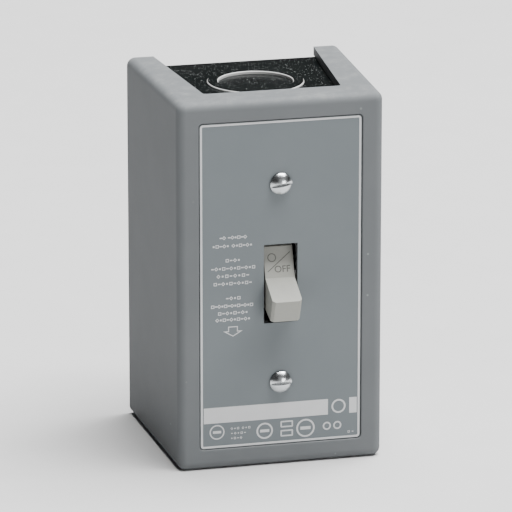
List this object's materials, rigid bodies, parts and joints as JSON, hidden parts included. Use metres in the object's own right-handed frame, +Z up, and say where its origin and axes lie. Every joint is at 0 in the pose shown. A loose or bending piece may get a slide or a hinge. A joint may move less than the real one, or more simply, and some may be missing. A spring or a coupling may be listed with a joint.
{
  "type": "surface-mounted toggle motor starter",
  "caption": "Surface-mounted toggle starter: tapering moulded cover with a full-face nameplate and a tilting toggle, over a pressed steel box with conduit knockouts.",
  "frame": {"origin": "centre of the back (wall) face", "axes": "+Y into the wall, +Z up, +X to the right as seen from in front"},
  "size_m": [0.0656, 0.0657, 0.1114],
  "materials": {
    "cover_grey": "satin",
    "plate_alu": "satin",
    "zinc_screw": "polished",
    "box_black": "gloss",
    "green_screw": "satin",
    "yoke_steel": "satin",
    "case_plastic": "matte",
    "toggle_plastic": "satin",
    "brass_strip": "satin",
    "copper_strip": "satin",
    "silver_button": "satin",
    "spring_steel": "satin",
    "heater_wire": "satin"
  },
  "bodies": {
    "frame": {"back_box": "box_black", "cover": "cover_grey", "nameplate": "plate_alu", "cover_screws": "zinc_screw", "yoke_screws": "zinc_screw", "ground_screw": "green_screw", "mounting_yoke": "yoke_steel", "spring_posts": "yoke_steel", "case_body": "case_plastic", "case_back": "case_plastic", "case_rivets": "yoke_steel", "line_terminal": "brass_strip", "load_contact": "brass_strip", "load_terminal": "brass_strip", "fixed_contacts": "silver_button", "terminal_screws": "zinc_screw", "heater_bracket": "brass_strip", "heater_screws": "zinc_screw", "heater_winding": "heater_wire", "solder_tube": "brass_strip", "trip_lever_pin": "yoke_steel", "trip_spring": "spring_steel", "toggle_pin": "yoke_steel", "rocker_pin": "yoke_steel", "over_centre_springs": "spring_steel"},
    "toggle": {"toggle_handle": "toggle_plastic", "toggle_drive_pin": "yoke_steel"},
    "rocker": {"contact_rocker": "case_plastic", "contact_bridge": "copper_strip", "moving_contacts": "silver_button"},
    "ratchet": {"ratchet_wheel": "yoke_steel"},
    "lever": {"trip_lever": "case_plastic"}
  },
  "joints": [
    {"name": "toggle_tilt", "type": "hinge", "parent": "frame", "child": "toggle", "pos_m": [0, -0.0478, 0], "axis": [-1, 0, 0], "range_deg": [-4, 43], "deforming": ["over_centre_springs"]},
    {"name": "rocker_turn", "type": "hinge", "parent": "frame", "child": "rocker", "pos_m": [0, -0.029, 0], "axis": [-1, 0, 0], "range_deg": [-23.59, 2.2]},
    {"name": "lever_trip", "type": "hinge", "parent": "frame", "child": "lever", "pos_m": [0.0159, -0.0367, -0.0086], "axis": [0, 1, 0], "range_deg": [0, 7], "deforming": ["trip_spring"]},
    {"name": "ratchet_turn", "type": "hinge", "parent": "frame", "child": "ratchet", "pos_m": [0.0146, -0.0367, 0], "axis": [0, 1, 0], "range_deg": [-17.3, 0]}
  ],
  "couplings": [
    {"joint": "rocker_turn", "follows": "toggle_tilt", "ratio": -0.5486},
    {"joint": "ratchet_turn", "follows": "lever_trip", "ratio": -2.47}
  ]
}
